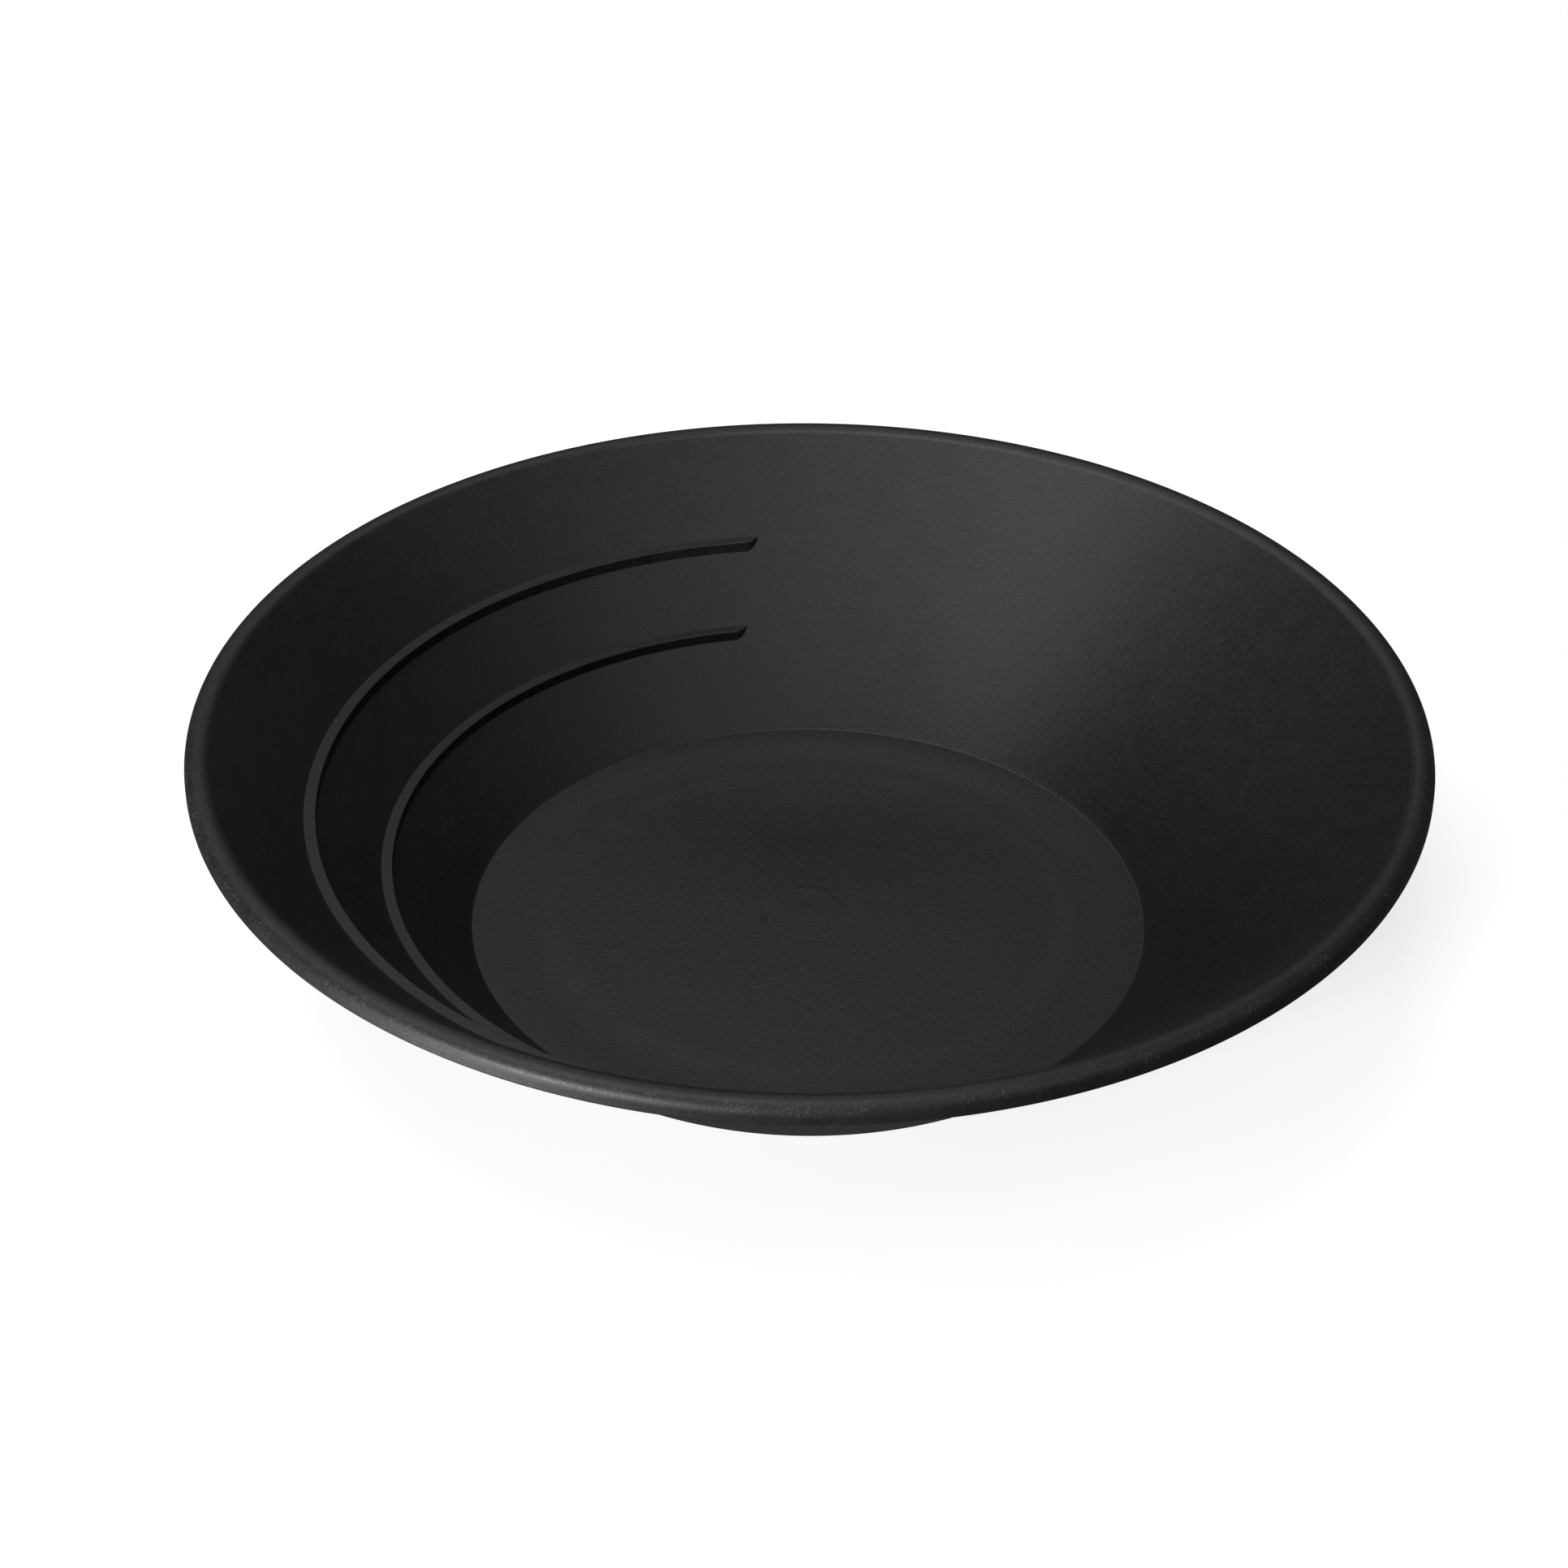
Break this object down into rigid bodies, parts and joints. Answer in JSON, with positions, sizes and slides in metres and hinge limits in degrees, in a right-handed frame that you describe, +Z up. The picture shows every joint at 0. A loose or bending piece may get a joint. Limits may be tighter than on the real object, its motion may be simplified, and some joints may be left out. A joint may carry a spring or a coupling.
{
  "type": "gold pan",
  "caption": "Round black plastic gold pan: flat floor, sloping wall with a pair of stepped riffles on one side, and a flat rim with a down-turned lip.",
  "frame": {"origin": "centre of the flat underside, on the pan's axis, in the plane that the pan stands on", "axes": "+Z up along the pan's axis, out of its mouth; the riffles are centred on -X; the XZ plane is the plane of symmetry"},
  "size_m": [0.356, 0.356, 0.0734],
  "materials": {
    "pan_plastic": "satin"
  },
  "bodies": {
    "root": {"floor": "pan_plastic", "wall": "pan_plastic", "rim": "pan_plastic", "upper_riffle": "pan_plastic", "lower_riffle": "pan_plastic"}
  },
  "joints": []
}
